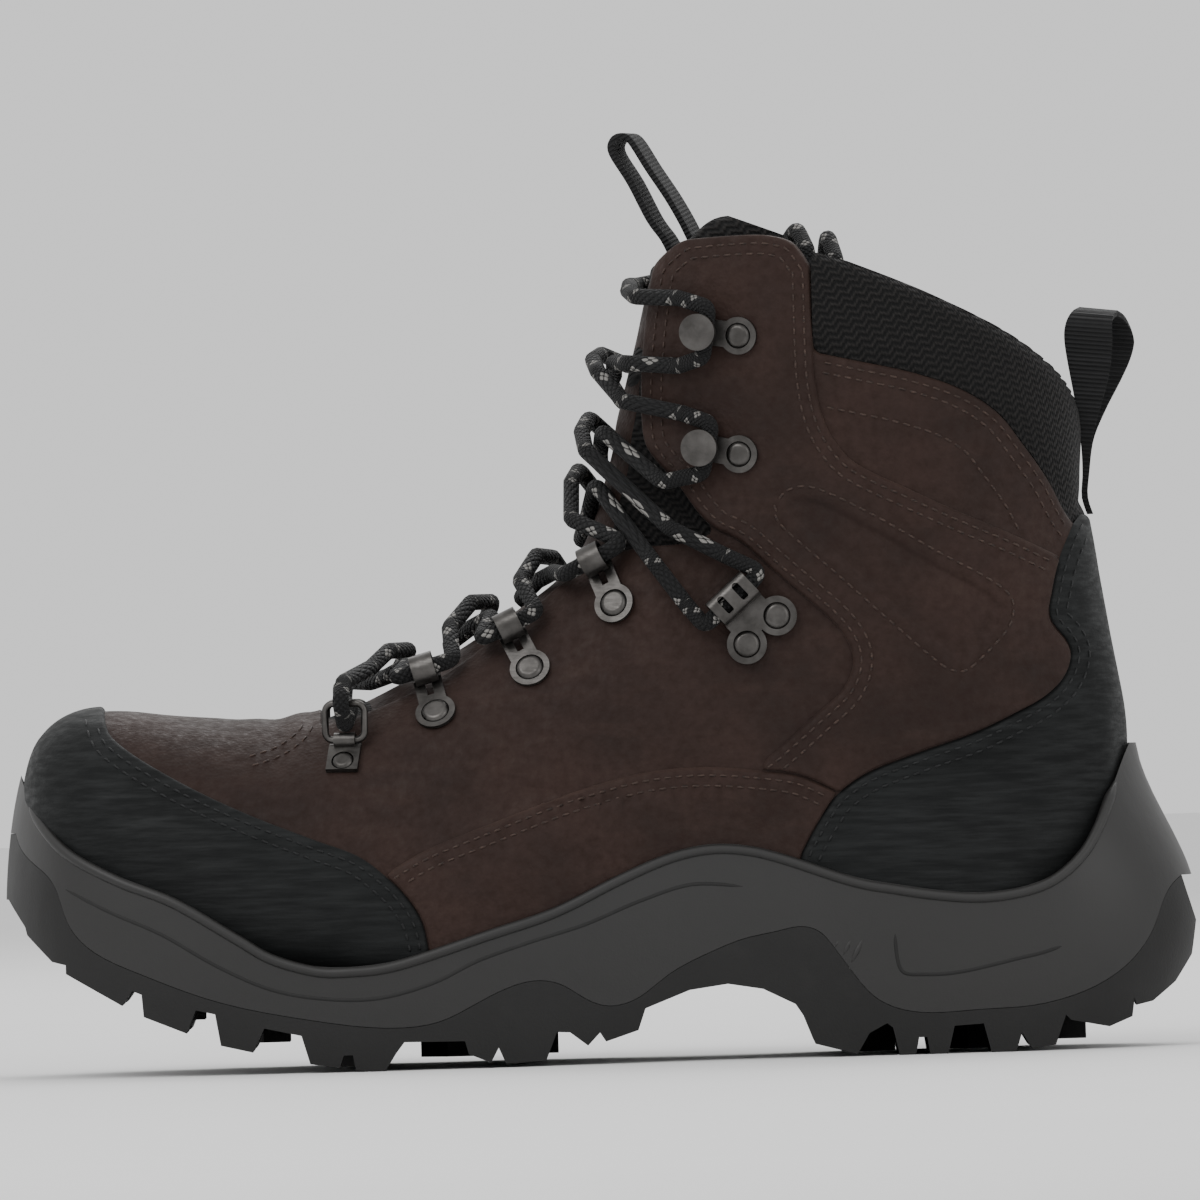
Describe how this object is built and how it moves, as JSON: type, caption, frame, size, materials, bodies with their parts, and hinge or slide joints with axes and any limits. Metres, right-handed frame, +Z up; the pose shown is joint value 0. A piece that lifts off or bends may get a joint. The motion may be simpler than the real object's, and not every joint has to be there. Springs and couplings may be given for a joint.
{
  "type": "hiking boot",
  "caption": "Ankle-high lace-up walking boot for the left foot: leather upper, padded collar, metal lacing hooks, pull loops and a lugged rubber sole.",
  "frame": {"origin": "on the ground, under the middle of the boot's bounding box", "axes": "+Z up, toe towards -X, outer side of the foot towards -Y"},
  "size_m": [0.3112, 0.1094, 0.2426],
  "materials": {
    "dark_metal": "antiqued, satin",
    "black_leather": "nubuck, brushed grain",
    "brown_leather": "oiled nubuck",
    "mesh": "knitted mesh over foam",
    "lining": "knitted lining",
    "webbing": "ribbed webbing",
    "midsole": "satin moulded foam",
    "outsole": "matt rubber",
    "lace": "round braid",
    "board": "fibre board",
    "footbed": "foam with textile top"
  },
  "bodies": {
    "boot": {"ankle_facing_lateral": "brown_leather", "ankle_facing_medial": "brown_leather", "collar": "mesh", "footbed": "footbed", "heel_cover": "black_leather", "heel_stiffener": "board", "insole_board": "board", "lace": "lace", "lace_lock_lateral": "dark_metal", "lace_lock_medial": "dark_metal", "lace_lock_rivets_lateral": "dark_metal", "lace_lock_rivets_medial": "dark_metal", "lace_tip_end": "dark_metal", "lace_tip_start": "dark_metal", "lining_lateral": "lining", "lining_medial": "lining", "midsole": "midsole", "mudguard_lateral": "brown_leather", "mudguard_medial": "brown_leather", "outsole": "outsole", "quarter_lateral": "brown_leather", "quarter_medial": "brown_leather", "ring_tab_lateral": "brown_leather", "ring_tab_medial": "brown_leather", "ring_tab_rivet_lateral": "dark_metal", "ring_tab_rivet_medial": "dark_metal", "speed_hook_1_lateral": "dark_metal", "speed_hook_1_medial": "dark_metal", "speed_hook_2_lateral": "dark_metal", "speed_hook_2_medial": "dark_metal", "speed_hook_rivets_lateral": "dark_metal", "speed_hook_rivets_medial": "dark_metal", "toe_cap": "black_leather", "toe_puff": "board", "vamp": "brown_leather", "web_hook_1_lateral": "dark_metal", "web_hook_1_medial": "dark_metal", "web_hook_2_lateral": "dark_metal", "web_hook_2_medial": "dark_metal", "web_hook_3_lateral": "dark_metal", "web_hook_3_medial": "dark_metal", "web_hook_rivets_lateral": "dark_metal", "web_hook_rivets_medial": "dark_metal"},
    "tongue": {"tongue": "mesh"},
    "tongue_loop": {"tongue_loop": "webbing"},
    "heel_loop": {"heel_loop": "webbing"},
    "ring_lateral": {"lace_ring_lateral": "dark_metal"},
    "ring_medial": {"lace_ring_medial": "dark_metal"}
  },
  "joints": [
    {"name": "tongue_push", "type": "hinge", "parent": "boot", "child": "tongue", "pos_m": [-0.0735, 0, 0.089], "axis": [0, 1, 0], "range_deg": [0, 3], "stiffness_Nm_per_rad": 0.8, "springref_deg": -2.86},
    {"name": "tongue_loop_flop", "type": "hinge", "parent": "tongue", "child": "tongue_loop", "pos_m": [0.0265, 0, 0.2155], "axis": [0, 1, 0], "range_deg": [-8, 8], "stiffness_Nm_per_rad": 0.02},
    {"name": "heel_loop_flop", "type": "hinge", "parent": "boot", "child": "heel_loop", "pos_m": [0.1305, 0, 0.1502], "axis": [0, 1, 0], "range_deg": [0, 12], "stiffness_Nm_per_rad": 0.02},
    {"name": "ring_lateral_turn", "type": "hinge", "parent": "boot", "child": "ring_lateral", "pos_m": [-0.06513, -0.03319, 0.08614], "axis": [-0.982, 0.1889, 0.0087], "range_deg": [-5, 5]},
    {"name": "ring_medial_turn", "type": "hinge", "parent": "boot", "child": "ring_medial", "pos_m": [-0.06533, 0.03421, 0.08618], "axis": [0.993, 0.1175, -0.0088], "range_deg": [-5, 5]}
  ]
}
